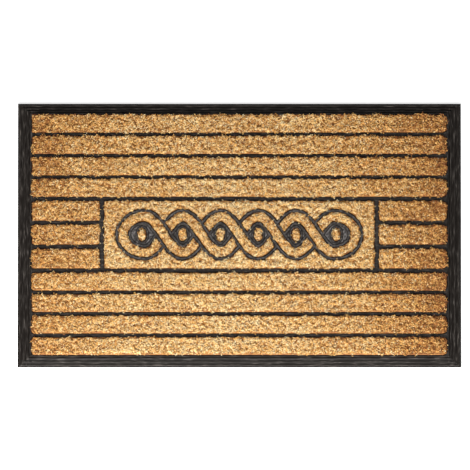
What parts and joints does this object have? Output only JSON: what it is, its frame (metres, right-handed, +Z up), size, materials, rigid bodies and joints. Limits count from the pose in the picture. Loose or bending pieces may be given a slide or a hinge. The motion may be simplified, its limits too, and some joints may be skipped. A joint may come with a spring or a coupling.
{
  "type": "door mat",
  "caption": "Rectangular door mat: a moulded rubber tray with a ridged border and ribs, filled with brushes of cut coir, and a raised braid on a centre panel.",
  "frame": {"origin": "middle of the underside, on the plane that the mat lies on", "axes": "+X along the long side, +Y along the short side towards the back, +Z up out of the pile"},
  "size_m": [0.75, 0.45, 0.017],
  "materials": {
    "rubber": "matt moulded rubber, dusty on its ridges",
    "coir": "dense upright pile of cut golden-brown coconut fibre"
  },
  "bodies": {
    "root": {"rubber_tray": "rubber", "coir_strip_1": "coir", "coir_strip_2": "coir", "coir_strip_3": "coir", "coir_strip_4": "coir", "coir_strip_5": "coir", "coir_strip_6": "coir", "coir_strip_7": "coir", "coir_strip_8": "coir", "coir_block_left_1": "coir", "coir_block_left_2": "coir", "coir_block_left_3": "coir", "coir_block_right_1": "coir", "coir_block_right_2": "coir", "coir_block_right_3": "coir", "coir_panel_ground": "coir", "coir_strand_1": "coir", "coir_strand_2": "coir", "coir_strand_3": "coir", "coir_strand_4": "coir", "coir_strand_5": "coir", "coir_boss_1": "coir", "coir_boss_2": "coir", "coir_boss_3": "coir", "coir_boss_4": "coir", "coir_boss_5": "coir", "coir_boss_6": "coir"}
  },
  "joints": []
}
